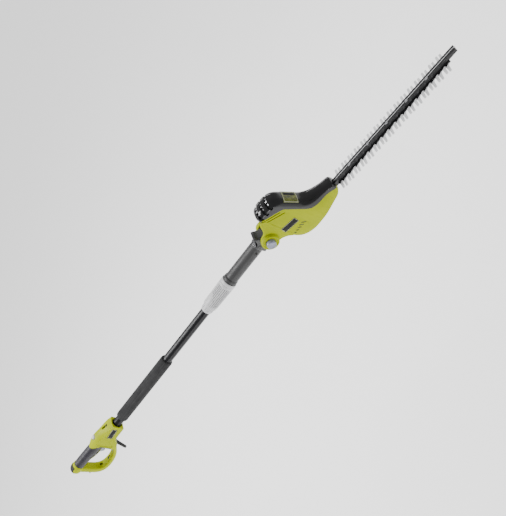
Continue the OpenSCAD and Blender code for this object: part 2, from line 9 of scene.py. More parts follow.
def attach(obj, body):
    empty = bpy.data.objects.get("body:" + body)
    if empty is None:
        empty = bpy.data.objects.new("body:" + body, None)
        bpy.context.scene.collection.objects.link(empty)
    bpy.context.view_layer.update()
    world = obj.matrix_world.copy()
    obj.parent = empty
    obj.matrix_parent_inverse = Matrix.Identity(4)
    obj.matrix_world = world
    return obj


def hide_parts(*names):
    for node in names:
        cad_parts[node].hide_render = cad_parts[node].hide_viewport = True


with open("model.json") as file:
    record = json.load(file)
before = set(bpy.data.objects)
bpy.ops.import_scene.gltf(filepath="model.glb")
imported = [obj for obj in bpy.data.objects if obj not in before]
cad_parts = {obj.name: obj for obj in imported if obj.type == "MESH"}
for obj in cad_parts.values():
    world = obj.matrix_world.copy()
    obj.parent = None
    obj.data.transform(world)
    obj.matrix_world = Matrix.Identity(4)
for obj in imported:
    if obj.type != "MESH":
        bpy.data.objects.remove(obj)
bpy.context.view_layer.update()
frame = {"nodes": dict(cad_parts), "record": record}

# Meshes are made in millimetres and scaled by MM. The camera, the lights and the materials are in metres.
MM = 0.001
# Faces that meet at more than this many degrees keep a hard edge between them
SHARP = 32
# Two points closer than this are the same point
SAME = 1e-6
# The right side of the tool is -Y and the left side is +Y
SIDES = (-1, 1)

TILT = math.radians(3.5)
PIVOT = Vector((671, 0, -4))
# The head's own frame: origin on the tilt axis, +X towards the blade tip
HEAD = Matrix.Translation(PIVOT) @ Matrix.Rotation(TILT, 4, "Y")
PART = Matrix.Identity(4)


# ---------------------------------------------------------------- camera and studio

def linked(obj):
    """Puts an object into the scene."""
    bpy.context.scene.collection.objects.link(obj)
    return obj


def make_camera():
    """From the right, the front and above, rolled so that the pole runs diagonally through the picture."""
    data = bpy.data.cameras.new("camera")
    data.sensor_width = 36
    data.lens = 66.17
    data.clip_start = 0.05
    data.clip_end = 40
    place = Vector((1.8312, -1.7933, 1.4011))
    aim = Vector((0.5829, 0.0, -0.0149))
    forward = (aim - place).normalized()
    along = Vector((1, 0, 0))
    along = (along - forward * along.dot(forward)).normalized()
    across = (-forward).cross(along)
    roll = math.radians(51.5)
    right = along * math.cos(roll) - across * math.sin(roll)
    up = along * math.sin(roll) + across * math.cos(roll)
    turn = Matrix((right, up, -forward)).transposed()
    camera = linked(bpy.data.objects.new("camera", data))
    camera.matrix_world = Matrix.Translation(place) @ turn.to_4x4()
    bpy.context.scene.camera = camera


def area_light(name, place, aim, size, power):
    """A white rectangular lamp at a place, turned towards the aim."""
    data = bpy.data.lights.new(name, "AREA")
    data.shape = "RECTANGLE"
    data.size = size[0]
    data.size_y = size[1]
    data.energy = power
    lamp = bpy.data.objects.new(name, data)
    lamp.location = place
    lamp.rotation_mode = "QUATERNION"
    lamp.rotation_quaternion = (Vector(place) - Vector(aim)).to_track_quat("Z", "Y")
    linked(lamp)


def make_studio():
    """White surroundings, three lamps and a white floor well below the tool."""
    world = bpy.data.worlds.new("studio")
    world.use_nodes = True
    background = world.node_tree.nodes["Background"]
    background.inputs["Color"].default_value = (1, 1, 1, 1)
    background.inputs["Strength"].default_value = 0.42
    bpy.context.scene.world = world
    area_light("key_top", (-1.3, 0.5, 2.5), (0.3, 0, 0), (1.8, 1.2), 150)
    area_light("strip_front", (-0.6, -2.1, -0.3), (0.4, 0, 0), (2.0, 0.22), 24)
    area_light("strip_far", (0.3, 1.9, 0.7), (0.4, 0, 0), (2.6, 0.3), 14)
    mesh = bmesh.new()
    bmesh.ops.create_grid(mesh, x_segments=8, y_segments=8, size=9000)
    floor = finish_mesh("studio_floor", mesh, at(0, 0, -1100))
    paint(floor, floor_material())


# ---------------------------------------------------------------- material tools

def noise(tree, where, scale, detail, roughness=0.5):
    """The output of a noise texture."""
    made = tree.nodes.new("ShaderNodeTexNoise")
    made.inputs["Scale"].default_value = scale
    made.inputs["Detail"].default_value = detail
    made.inputs["Roughness"].default_value = roughness
    tree.links.new(where, made.inputs["Vector"])
    return made.outputs["Fac"]


def ramp(tree, value, low, high, to_low=0.0, to_high=1.0):
    """Maps low to high onto to_low to to_high, and stays within them."""
    made = tree.nodes.new("ShaderNodeMapRange")
    made.inputs["From Min"].default_value = low
    made.inputs["From Max"].default_value = high
    made.inputs["To Min"].default_value = to_low
    made.inputs["To Max"].default_value = to_high
    tree.links.new(value, made.inputs["Value"])
    return made.outputs["Result"]


def calc(tree, operation, *values):
    """The output of a math node. Each value is a number or the output of another node."""
    made = tree.nodes.new("ShaderNodeMath")
    made.operation = operation
    for socket, value in zip(made.inputs, values):
        if isinstance(value, bpy.types.NodeSocket):
            tree.links.new(value, socket)
        else:
            socket.default_value = value
    return made.outputs["Value"]


def blend(tree, factor, under, over):
    """Mixes two colours. Each is three numbers or the output of another node."""
    made = tree.nodes.new("ShaderNodeMix")
    made.data_type = "RGBA"
    for socket, value in ((made.inputs["A"], under), (made.inputs["B"], over)):
        if isinstance(value, bpy.types.NodeSocket):
            tree.links.new(value, socket)
        else:
            socket.default_value = (*value, 1)
    tree.links.new(factor, made.inputs["Factor"])
    return made.outputs["Result"]


def surface(name, colour, dark, rough, metal, bump, grain, patch, coat=0.0, spread=0.12, shine=0.5):
    """A procedural surface: cloudy colour, uneven gloss and fine grain."""
    made = bpy.data.materials.new(name)
    made.use_nodes = True
    tree = made.node_tree
    shader = tree.nodes["Principled BSDF"]
    shader.inputs["Metallic"].default_value = metal
    shader.inputs["Coat Weight"].default_value = coat
    shader.inputs["Coat Roughness"].default_value = 0.12
    shader.inputs["Specular IOR Level"].default_value = shine
    where = tree.nodes.new("ShaderNodeTexCoord").outputs["Object"]
    cloud = ramp(tree, noise(tree, where, patch, 6.0, 0.62), 0.32, 0.6)
    tree.links.new(blend(tree, cloud, dark, colour), shader.inputs["Base Color"])
    smear = noise(tree, where, patch * 3.1, 4.0)
    gloss = ramp(tree, smear, 0.3, 0.7, max(0.03, rough - spread), min(1.0, rough + spread))
    tree.links.new(gloss, shader.inputs["Roughness"])
    raised = tree.nodes.new("ShaderNodeBump")
    raised.inputs["Strength"].default_value = bump
    raised.inputs["Distance"].default_value = 0.0006
    tree.links.new(noise(tree, where, grain, 3.0), raised.inputs["Height"])
    tree.links.new(raised.outputs["Normal"], shader.inputs["Normal"])
    return made


def place_of(made):
    """The output that holds where a point of the object lies, in metres."""
    found = next(n for n in made.node_tree.nodes if n.bl_idname == "ShaderNodeTexCoord")
    return found.outputs["Object"]


def axes_of(made):
    """The X, Y and Z outputs of where a point lies."""
    split = made.node_tree.nodes.new("ShaderNodeSeparateXYZ")
    made.node_tree.links.new(place_of(made), split.inputs["Vector"])
    return split.outputs["X"], split.outputs["Y"], split.outputs["Z"]


def overlay(made, factor, colour):
    """Paints a second colour over a material where factor is 1."""
    tree = made.node_tree
    base = tree.nodes["Principled BSDF"].inputs["Base Color"]
    under = base.links[0].from_socket
    tree.links.new(blend(tree, factor, under, colour), base)


# ---------------------------------------------------------------- materials

def light_grey(name):
    """Matte light grey plastic."""
    return surface(name, (0.62, 0.62, 0.63), (0.54, 0.54, 0.55), 0.48, 0.0, 0.15, 1100, 22)


def collar_material():
    """Light grey plastic, with painted shade in the grooves, where the surface lies deeper than the tops of
    the tapering ribs.
    """
    made = light_grey("collar_grey")
    tree = made.node_tree
    x, y, z = axes_of(made)
    squares = calc(tree, "ADD", calc(tree, "MULTIPLY", y, y), calc(tree, "MULTIPLY", z, z))
    radius = calc(tree, "SQRT", squares)
    rib_top = ramp(tree, x, 0.384, 0.468, 0.0211, 0.0229)
    depth = calc(tree, "SUBTRACT", rib_top, radius)
    # Painted shade: darker the deeper the groove between the ribs
    shade = ramp(tree, depth, 0.0003, 0.0015, 0.0, 0.75)
    past_lower_ring = calc(tree, "GREATER_THAN", x, 0.3835)
    overlay(made, calc(tree, "MULTIPLY", shade, past_lower_ring), (0.13, 0.13, 0.135))
    return made


def rail_material():
    """Black anodised rail, with a painted highlight along its middle ridge."""
    made = surface("rail_black", (0.022, 0.022, 0.024), (0.012, 0.012, 0.013), 0.34, 0.3, 0.05, 1400, 30)
    tree = made.node_tree
    away = calc(tree, "ABSOLUTE", axes_of(made)[1])
    highlight_half = 0.001
    # A painted highlight, 2 mm wide, along the middle of the rail
    overlay(made, calc(tree, "LESS_THAN", away, highlight_half), (0.75, 0.75, 0.76))
    return made


def blade_material():
    """Ground steel teeth, with the middle of the blade near black out to a zigzag edge."""
    made = surface("blade_steel", (0.93, 0.93, 0.94), (0.76, 0.77, 0.78), 0.4, 0.25, 0.12, 1600, 60,
                   spread=0.1)
    tree = made.node_tree
    x, y, _ = axes_of(made)
    away = calc(tree, "ABSOLUTE", y)
    zigzag = calc(tree, "PINGPONG", x, 0.0065)
    edge = calc(tree, "MULTIPLY_ADD", zigzag, 0.55, 0.0122)
    # Near black over the middle of the blade, out to a zigzag edge
    overlay(made, calc(tree, "LESS_THAN", away, edge), (0.016, 0.016, 0.018))
    return made


def foam_material():
    """Closed-cell foam: fine pores and faint lines along the pole."""
    made = surface("foam", (0.042, 0.042, 0.043), (0.028, 0.028, 0.029), 0.9, 0.0, 0.5, 700, 40,
                   spread=0.06, shine=0.12)
    tree = made.node_tree
    stretch = tree.nodes.new("ShaderNodeMapping")
    stretch.inputs["Scale"].default_value = (14, 420, 420)
    tree.links.new(place_of(made), stretch.inputs["Vector"])
    lines = noise(tree, stretch.outputs["Vector"], 1.0, 3.0)
    overlay(made, ramp(tree, lines, 0.52, 0.75, 0.0, 0.55), (0.085, 0.085, 0.086))
    return made


def floor_material():
    """White paper that glows, so that the ground behind the object is bright."""
    made = surface("studio_white", (0.95, 0.95, 0.95), (0.93, 0.93, 0.93), 0.9, 0.0, 0.02, 60, 2)
    shader = made.node_tree.nodes["Principled BSDF"]
    shader.inputs["Emission Color"].default_value = (1, 1, 1, 1)
    shader.inputs["Emission Strength"].default_value = 1.0
    return made


def make_materials():
    """One material for each slot of the record, and two more for the collar and the pale borders."""
    return {
        "pole_black": surface("pole_black", (0.012, 0.012, 0.014), (0.007, 0.007, 0.009), 0.34, 0.0, 0.02,
                              1500, 22, shine=0.18, spread=0.04),
        "foam": foam_material(),
        "lime_shell": surface("lime_shell", (0.40, 0.46, 0.0), (0.34, 0.40, 0.0), 0.42, 0.0, 0.16,
                              1100, 14, shine=0.06),
        "soft_grip": surface("soft_grip", (0.03, 0.028, 0.036), (0.016, 0.015, 0.02), 0.46, 0.0, 0.45,
                             1300, 30, shine=0.35),
        "black_gloss": surface("black_gloss", (0.010, 0.010, 0.011), (0.006, 0.006, 0.007), 0.2, 0.0, 0.02,
                               1500, 20, coat=0.2, spread=0.06, shine=0.4),
        "black_matte": surface("black_matte", (0.02, 0.02, 0.021), (0.012, 0.012, 0.013), 0.62, 0.0, 0.2,
                               1200, 30),
        "black_rubber": surface("black_rubber", (0.016, 0.016, 0.016), (0.009, 0.009, 0.009), 0.75, 0.0, 0.3,
                                900, 26),
        "dark_grey": surface("dark_grey", (0.05, 0.05, 0.055), (0.036, 0.036, 0.04), 0.42, 0.0, 0.2,
                             1200, 24),
        "upper_grey": surface("upper_grey", (0.06, 0.06, 0.061), (0.05, 0.05, 0.051), 0.42, 0.0, 0.1,
                              1400, 20, shine=0.18, spread=0.05),
        "collar_grey": collar_material(),
        "light_grey": light_grey("light_grey"),
        "blue_grey": surface("blue_grey", (0.27, 0.29, 0.38), (0.2, 0.215, 0.29), 0.34, 0.1, 0.08,
                             1200, 40, coat=0.2),
        "steel": surface("steel", (0.62, 0.62, 0.64), (0.45, 0.45, 0.47), 0.3, 0.95, 0.08, 1500, 60),
        "blade_steel": blade_material(),
        "rail_black": rail_material(),
        "brass": surface("brass", (0.74, 0.55, 0.24), (0.55, 0.4, 0.17), 0.32, 0.95, 0.08, 1500, 70),
        "copper": surface("copper", (0.78, 0.38, 0.22), (0.6, 0.27, 0.15), 0.34, 0.95, 0.1, 1600, 70),
        "zinc": surface("zinc", (0.7, 0.7, 0.72), (0.5, 0.5, 0.53), 0.36, 0.85, 0.1, 1500, 80),
        "lamination": surface("lamination", (0.3, 0.3, 0.32), (0.2, 0.2, 0.21), 0.42, 0.8, 0.3, 2200, 60),
        "badge": surface("badge", (0.010, 0.010, 0.010), (0.006, 0.006, 0.006), 0.5, 0.0, 0.05,
                         1500, 60, shine=0.15),
        "label": surface("label", (0.17, 0.19, 0.02), (0.03, 0.034, 0.012), 0.3, 0.0, 0.05, 1500, 90),
        "pale_line": surface("pale_line", (0.6, 0.62, 0.42), (0.42, 0.44, 0.26), 0.4, 0.0, 0.05, 1500, 80),
    }


def paint(obj, made):
    """Gives an object one material."""
    obj.data.materials.clear()
    obj.data.materials.append(made)


# ---------------------------------------------------------------- mesh tools

def clamp(value):
    """A value kept between 0 and 1."""
    return max(0.0, min(1.0, value))


def side_name(side):
    """The name of a side, as the names of the pieces give it."""
    return "left" if side > 0 else "right"


def at(x, y, z, turn_y=0.0, turn_x=0.0, turn_z=0.0):
    """A place in millimetres, with turns in degrees about Y, then X, then Z of the piece."""
    out = Matrix.Translation((x, y, z)) @ Matrix.Rotation(math.radians(turn_y), 4, "Y")
    out = out @ Matrix.Rotation(math.radians(turn_x), 4, "X")
    return out @ Matrix.Rotation(math.radians(turn_z), 4, "Z")


def smooth(data, angle=SHARP):
    """Shades a mesh smooth, except where its faces meet at more than the angle."""
    data.shade_smooth()
    data.set_sharp_from_angle(angle=math.radians(angle))


def finish_mesh(name, mesh, place, angle=SHARP):
    """Turns a bmesh in millimetres into an object in the part's frame."""
    bmesh.ops.recalc_face_normals(mesh, faces=mesh.faces)
    data = bpy.data.meshes.new(name)
    mesh.to_mesh(data)
    mesh.free()
    data.transform(place)
    data.transform(Matrix.Scale(MM, 4))
    smooth(data, angle)
    return linked(bpy.data.objects.new(name, data))


def curved(points, steps=6):
    """A smooth closed outline through the points; a point given twice stays a corner."""
    out = []
    n = len(points)
    for i in range(n):
        p0 = Vector(points[i - 1])
        p1 = Vector(points[i])
        p2 = Vector(points[(i + 1) % n])
        p3 = Vector(points[(i + 2) % n])
        reach = (p2 - p1).length
        if reach < SAME:
            continue
        # A doubled neighbour gives a zero tangent there, which keeps the corner
        t1 = Vector((0, 0)) if (p1 - p0).length < SAME else (p2 - p0) * 0.5
        t2 = Vector((0, 0)) if (p3 - p2).length < SAME else (p3 - p1) * 0.5
        if t1.length > reach:
            t1 = t1.normalized() * reach
        if t2.length > reach:
            t2 = t2.normalized() * reach
        for k in range(steps):
            t = k / steps
            a = 2 * t ** 3 - 3 * t ** 2 + 1
            b = t ** 3 - 2 * t ** 2 + t
            c = -2 * t ** 3 + 3 * t ** 2
            d = t ** 3 - t ** 2
            out.append(p1 * a + t1 * b + p2 * c + t2 * d)
    return out


def open_curve(points, steps):
    """A smooth open line through the points, each of which holds any number of values."""
    line = []
    last = len(points) - 1
    for i in range(last):
        p0 = Vector(points[max(0, i - 1)])
        p1 = Vector(points[i])
        p2 = Vector(points[i + 1])
        p3 = Vector(points[min(last, i + 2)])
        for k in range(steps):
            t = k / steps
            linear = (p2 - p0) * t
            square = (2 * p0 - 5 * p1 + 4 * p2 - p3) * t ** 2
            cube = (3 * p1 - p0 - 3 * p2 + p3) * t ** 3
            line.append(0.5 * ((2 * p1) + linear + square + cube))
    line.append(Vector(points[-1]))
    return line


def slot_outline(width, length, radius):
    """A rounded rectangle about its middle."""
    out = []
    for side_x, side_z, start in ((1, 1, 0), (-1, 1, 90), (-1, -1, 180), (1, -1, 270)):
        for k in range(7):
            a = math.radians(start + 15 * k)
            x = side_x * (width / 2 - radius) + radius * math.cos(a)
            z = side_z * (length / 2 - radius) + radius * math.sin(a)
            out.append(Vector((x, z)))
    return out


def inward(outline):
    """The inward normal at each point of a closed outline, longer at corners so that edges stay parallel."""
    n = len(outline)
    area = sum(outline[i - 1].x * outline[i].y - outline[i].x * outline[i - 1].y for i in range(n))
    turn = 1 if area > 0 else -1
    out = []
    for i in range(n):
        a = (outline[i] - outline[i - 1]).normalized()
        b = (outline[(i + 1) % n] - outline[i]).normalized()
        d = a + b
        if d.length < SAME:
            d = a
        d.normalize()
        normal = Vector((-d.y, d.x)) * turn
        # The limit keeps sharp corners from reaching too far
        out.append(normal / max(0.6, abs(d.dot(a))))
    return out


def soft_edges(half, in_plane, across, steps=6, start=None):
    """A profile for slab: from y = start (or -half) to half, with rounded edges."""
    low = -half if start is None else start
    out = []
    for k in range(steps + 1):
        a = math.pi / 2 * (1 - k / steps)
        out.append((low + across * (1 - math.sin(a)), in_plane * (1 - math.cos(a))))
    for k in range(steps + 1):
        a = math.pi / 2 * k / steps
        out.append((half - across * (1 - math.sin(a)), in_plane * (1 - math.cos(a))))
    return out


def bridge(mesh, rings, closed=False):
    """Faces between rings of vertices, with a cap at each end or, when closed, back to the first ring."""
    pairs = list(zip(rings, rings[1:]))
    if closed:
        pairs.append((rings[-1], rings[0]))
    count = len(rings[0])
    for a, b in pairs:
        for i in range(count):
            j = (i + 1) % count
            mesh.faces.new((a[i], a[j], b[j], b[i]))
    if closed:
        return []
    return [mesh.faces.new(rings[0]), mesh.faces.new(list(reversed(rings[-1])))]


def scale_width(mesh, outline, width):
    """Slices a mesh along x about every 8 mm and scales its y by width(x)."""
    start = min(p.x for p in outline)
    reach = max(p.x for p in outline) - start
    slices = int(reach / 8)
    for k in range(1, slices):
        everything = mesh.verts[:] + mesh.edges[:] + mesh.faces[:]
        middle = (start + reach * k / slices, 0, 0)
        bmesh.ops.bisect_plane(mesh, geom=everything, dist=0.0001, plane_co=middle, plane_no=(1, 0, 0))
    for v in mesh.verts:
        v.co.y *= width(v.co.x)
    bmesh.ops.triangulate(mesh, faces=mesh.faces[:])


def slab(name, outline, profile, place, weight=None, width=None, drop=False):
    """A side outline in x and z made solid across y. The profile lists (y, inset) from one face to the
    other; weight scales the inset at each point, and width scales y along x. With drop, the inset only
    lowers z."""
    normals = [Vector((0, -1)) for _ in outline] if drop else inward(outline)
    mesh = bmesh.new()
    rings = []
    for y, inset in profile:
        ring = []
        for p, n in zip(outline, normals):
            share = inset if weight is None else inset * weight(p.x, p.y)
            q = p + n * share
            ring.append(mesh.verts.new((q.x, y, q.y)))
        rings.append(ring)
    caps = bridge(mesh, rings)
    bmesh.ops.triangulate(mesh, faces=mesh.faces[:] if width else caps)
    if width:
        scale_width(mesh, outline, width)
    return finish_mesh(name, mesh, place)


def lathe(name, profile, place, segments=72, radius=None, angle=SHARP):
    """Turns a profile of (x, r) about the X axis. radius changes r with the position and the angle. The ends
    are capped, unless the profile comes back to its first point."""
    closed = profile[0] == profile[-1]
    points = profile[:-1] if closed else profile
    mesh = bmesh.new()
    rings = []
    for x, r in points:
        ring = []
        for k in range(segments):
            a = 2 * math.pi * k / segments
            rr = r if radius is None else radius(x, a, r)
            ring.append(mesh.verts.new((x, rr * math.cos(a), rr * math.sin(a))))
        rings.append(ring)
    bridge(mesh, rings, closed)
    return finish_mesh(name, mesh, place, angle)


def sweep(name, path, power, segments):
    """A bar along a path in x and z. Each path point holds x, z, the half thickness in the plane and the
    half width. A power of 2 gives an oval section, and a higher one a squarer section."""
    line = open_curve(path, 7)
    mesh = bmesh.new()
    rings = []
    for i, p in enumerate(line):
        a = line[max(0, i - 1)]
        b = line[min(len(line) - 1, i + 1)]
        run = Vector((b[0] - a[0], 0, b[1] - a[1])).normalized()
        side = Vector((-run.z, 0, run.x))
        ring = []
        for k in range(segments):
            t = 2 * math.pi * k / segments
            c = math.copysign(abs(math.cos(t)) ** (2 / power), math.cos(t))
            s = math.copysign(abs(math.sin(t)) ** (2 / power), math.sin(t))
            middle = Vector((p[0], 0, p[1]))
            ring.append(mesh.verts.new(middle + side * (p[2] * c) + Vector((0, p[3] * s, 0))))
        rings.append(ring)
    bridge(mesh, rings)
    return finish_mesh(name, mesh, PART)


def bead(name, points, radius, flat=1.0):
    """A thin bead along a path in space, thinner at its ends and flattened towards the middle plane."""
    line = open_curve(points, 6)
    last = len(line) - 1
    out = Vector((0, 1, 0))
    mesh = bmesh.new()
    rings = []
    for i, p in enumerate(line):
        run = (line[min(last, i + 1)] - line[max(0, i - 1)]).normalized()
        up = run.cross(out).normalized()
        end = min(1.0, 0.35 + min(i, last - i) * 0.3)
        ring = []
        for k in range(16):
            a = math.pi * k / 8
            rise = up * (radius * end * math.cos(a))
            ring.append(mesh.verts.new(p + rise + out * (radius * flat * end * math.sin(a))))
        rings.append(ring)
    bridge(mesh, rings)
    return finish_mesh(name, mesh, PART)


def block(name, size, place, bevel=0.4, segments=2):
    """A box of the given size about its own middle, with bevelled edges."""
    mesh = bmesh.new()
    bmesh.ops.create_cube(mesh, size=1)
    bmesh.ops.scale(mesh, vec=size, verts=mesh.verts)
    if bevel:
        edges = mesh.edges[:]
        bmesh.ops.bevel(mesh, geom=edges, offset=bevel, segments=segments, affect="EDGES", profile=0.5)
    return finish_mesh(name, mesh, place)


def frame_strip(name, length, height, place):
    """A thin rectangular border in the piece's own XY plane."""
    line = 0.8
    thick = 0.4
    bars = []
    for end in (1, -1):
        bar_place = place @ at(0, end * (height / 2 - line / 2), 0)
        bars.append(block(name, (length, line, thick), bar_place, 0.1, 1))
    for end in (1, -1):
        bar_place = place @ at(end * (length / 2 - line / 2), 0, 0)
        bars.append(block(name, (line, height, thick), bar_place, 0.1, 1))
    return join(name, bars)


def combine(obj, tools, operation):
    """Cuts or keeps with the tools, applies it and removes them."""
    for tool in tools:
        step = obj.modifiers.new("cut", "BOOLEAN")
        step.operation = operation
        step.solver = "MANIFOLD"
        step.object = tool
    depsgraph = bpy.context.evaluated_depsgraph_get()
    data = bpy.data.meshes.new_from_object(obj.evaluated_get(depsgraph))
    obj.modifiers.clear()
    old = obj.data
    obj.data = data
    bpy.data.meshes.remove(old)
    data.name = obj.name
    for tool in tools:
        bpy.data.objects.remove(tool)
    smooth(data)
    return obj


def half_of(obj, name, side):
    """A copy of a solid, cut 0.1 mm off the parting plane and closed there."""
    made = linked(bpy.data.objects.new(name, obj.data.copy()))
    away = block("away", (3000, 200, 600), at(0, -side * 100 + side * 0.1, 0), 0)
    return combine(made, [away], "DIFFERENCE")


def join(name, pieces):
    """Several meshes made into one object."""
    mesh = bmesh.new()
    for piece in pieces:
        mesh.from_mesh(piece.data)
    data = bpy.data.meshes.new(name)
    mesh.to_mesh(data)
    mesh.free()
    for piece in pieces:
        bpy.data.objects.remove(piece)
    smooth(data)
    return linked(bpy.data.objects.new(name, data))


def place_piece(obj, body, slot, materials, *nodes):
    """Paints a piece, fixes it to its body and lets it stand for the CAD nodes. The record has no slot for
    the pale borders and the ribbed collar."""
    paint(obj, materials[slot])
    if nodes:
        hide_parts(*nodes)
    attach(obj, body)
    return obj


# ---------------------------------------------------------------- pole

def make_foam(materials):
    """The soft front grip, rounded at both ends."""
    end = [(134.5, 19), (137.5, 18.5), (139.3, 17.6), (140, 16.4), (140, 14.1)]
    middle = [(x, 19) for x in (-100, -50, 0, 50, 100)]
    profile = [(-x, r) for x, r in reversed(end)] + middle + end
    profile.append(profile[0])
    foam = lathe("front_grip_foam", profile, PART, 96)
    place_piece(foam, "pole", "foam", materials, "foam_grip")


def make_upper_tube(materials):
    """The outer tube, with a flange where the collar ends."""
    profile = [(392, 15.6), (392, 18.3), (486, 18.3), (486.2, 20.4), (486.9, 21), (493, 21), (496.5, 20.7),
               (498, 19.6), (498.6, 19), (560, 19), (625.4, 19), (626, 18.6), (626, 15.6), (392, 15.6)]
    tube = lathe("upper_pole_tube", profile, PART, 96)
    place_piece(tube, "upper_pole", "upper_grey", materials, "upper_tube")


def collar_radius(x, a, r):
    """Ribs along the collar, with two oval thumb pads between them, and blocks round its lower ring."""
    if r < 17.4:
        on_lower_ring = 367 < x < 379.5 and r > 16.8
        return r + 0.9 if on_lower_ring and math.cos(a * 12) > 0.1 else r
    if not 388 < x < 470:
        return r
    up = abs(math.atan2(math.cos(a), abs(math.sin(a))))
    pad = ((x - 403) / 24) ** 2 + (up / math.radians(40)) ** 2
    if pad < 1:
        return r + 0.55 * min(1.0, (1 - pad) * 2.2)
    fade = min(1.0, (x - 388) / 6, (470 - x) / 6, (pad - 1) * 3)
    wave = 0.5 + 0.5 * math.cos(a * 26)
    return r - 1.9 * fade * (1 - wave ** 0.5)


def make_collar(materials):
    """The twist collar: a narrow lower ring, a ribbed sleeve that widens, and a rounded upper rim."""
    stations = [(362, 14.4), (362, 16.2), (362.8, 16.7), (366.8, 16.8), (367.2, 16.9), (379.3, 17.0),
                (379.6, 17.0), (380.6, 17.1), (381.0, 19.8), (382, 20.9)]
    ribs_start = 384
    for k in range(45):
        x = ribs_start + 2.0 * k
        stations.append((x, 21.0 + 2.0 * min(1.0, (x - ribs_start) / 84) ** 0.85))
    stations += [(474, 23), (475, 22.5), (476, 22.5), (477, 23.05), (484.4, 23.05), (485.3, 22.6),
                 (485.6, 21.8), (485.6, 18.8), (383, 18.8), (383, 14.4), (362, 14.4)]
    collar = lathe("telescope_collar", stations, PART, 288, collar_radius, 40)
    place_piece(collar, "collar", "collar_grey", materials, "locking_collar")


def make_knuckle(materials):
    """The tongue of the pivot, the ring that joins it to the tube and three cross ribs on its upper back."""
    pivot = Matrix.Translation(PIVOT)
    points = [(-45, -17), (-36, -18.5), (-14, -20), (0, -21.6), (13, -17), (20, -8), (21.6, 0), (20, 8),
              (13, 17), (2, 22), (-11, 29), (-17, 36), (-20.5, 38.6), (-24, 37), (-30, 27), (-37, 20),
              (-45, 18.6)]
    tongue = slab("knuckle_tongue", curved(points), soft_edges(17.5, 4.5, 5), pivot)
    profile = [(600, 0.5), (600, 15.4), (626, 15.4), (626.2, 19.4), (627, 19.9), (631, 19.9), (631.8, 19.3),
               (633, 19.3), (633.8, 19.9), (637.4, 19.9), (640, 19.0), (648, 17.6), (655, 15), (655, 0.5)]
    ring = lathe("knuckle_ring", profile, PART, 96)
    bits = []
    for k in range(3):
        step = 4.6 * k
        bits.append(block("knuckle_bit", (5, 30, 3.4), pivot @ at(-27 + step, 0, 25 + step, -45), 0.8))
    knuckle = join("knuckle_joint", [tongue, ring, *bits])
    place_piece(knuckle, "upper_pole", "dark_grey", materials, "knuckle")


# ---------------------------------------------------------------- head

HEAD_HALF = 28
HEAD_OUTLINE = [(40, 66), (37.5, 70), (39, 76), (50, 81.5), (66, 84), (90, 82.6), (107, 76), (118, 64),
                (128, 43), (140, 16), (149, -1), (165, -14.5), (196, -25.5), (222, -31.5), (226.5, -37),
                (226.5, -50), (221, -65), (206, -76), (180, -82), (150, -86), (118, -89), (90, -88.5),
                (68, -81), (52, -67), (43, -48), (38, -28), (36, 0), (37, 34)]
HEAD_CAVITY = [(46, 68), (47, 74), (66, 79), (90, 77.5), (106, 70), (114, 60), (125, 40), (137, 13),
               (147, -5), (167, -19), (199, -30), (216, -38), (214, -60), (202, -71), (155, -80), (92, -83),
               (68, -74), (50, -56), (46, -40), (42, -20), (42, 30)]
# The seam of the cover, then three points that close the zone well outside the head
COVER_SEAM = [(20, 77), (37, 69.6), (60, 60), (103, 40.5), (112, 25), (123, 4), (134, -18), (144, -30),
              (164, -38.5), (196, -43.5), (240, -50)]
COVER_OUTSIDE = [(245, 30), (150, 110), (20, 110)]
ARM_OUTLINE = [(-25, 0), (-21.6, -12.5), (-12.5, -21.6), (0, -25), (13, -23.5), (25, -27), (37, -37),
               (47, -46), (50, -40), (50, -20), (50, 30), (50, 50), (45, 60), (36, 61), (27, 56), (20, 43),
               (10, 31), (-4, 25.4), (-15, 20), (-22.5, 11)]
BOSS_PROFILE = [(0, 0.4), (0, 24.4), (0.8, 25.2), (12, 25.4), (15.6, 24.6), (17.2, 23.2), (17.6, 21.2),
                (17.2, 19.6), (16.2, 18.9), (16, 14.3), (6, 14.2), (6, 0.4)]


def head_width(x):
    """How wide the head is at x, as a share of its full width: less at the nose and a little at the back."""
    share = 1.0
    if x > 138:
        t = min(1.0, (x - 138) / 60)
        share = 1 - 0.27 * t * t * (3 - 2 * t)
    if x < 56:
        share *= 1 - 0.05 * min(1.0, (56 - x) / 16)
    return share


def crown_start(x):
    """The height near the cover's seam from which the head is rounded more."""
    if x < 100:
        return 60 - 0.45 * (x - 60)
    if x < 138:
        return 41 - 1.9 * (x - 100)
    return -31 - 0.16 * (x - 138)


def head_crown(x, z):
    """The cover is strongly rounded across its top, its nose and the shells less so."""
    above = clamp((z - crown_start(x) + 4) / 16)
    nose = clamp((x - 150) / 40)
    return 0.25 + 0.75 * above * (1 - 0.35 * nose)


def head_body(name, grow=0.0):
    """The rounded body of the head, before it is parted into its shells and its cover."""
    outward = grow / 0.8
    profile = [(y, inset - outward) for y, inset in soft_edges(HEAD_HALF + grow, 15, 21, 9)]
    half = len(profile) // 2
    middle = [(0, -outward - 0.2)]
    profile = profile[:half] + middle + profile[half:]
    return slab(name, curved(HEAD_OUTLINE), profile, HEAD, head_crown, head_width)


def cavity_cut(half, width=None):
    """The room inside the head, as a tool that cuts."""
    return slab("cut_cavity", curved(HEAD_CAVITY), [(-half, 0), (half, 0)], HEAD, width=width)


def cover_zone(lower=0.0):
    """All that lies above the cover's seam, as a tool that cuts or keeps."""
    points = [(x, z - lower) for x, z in COVER_SEAM] + COVER_OUTSIDE
    return slab("cover_zone", curved(points, 4), [(-60, 0), (60, 0)], HEAD)


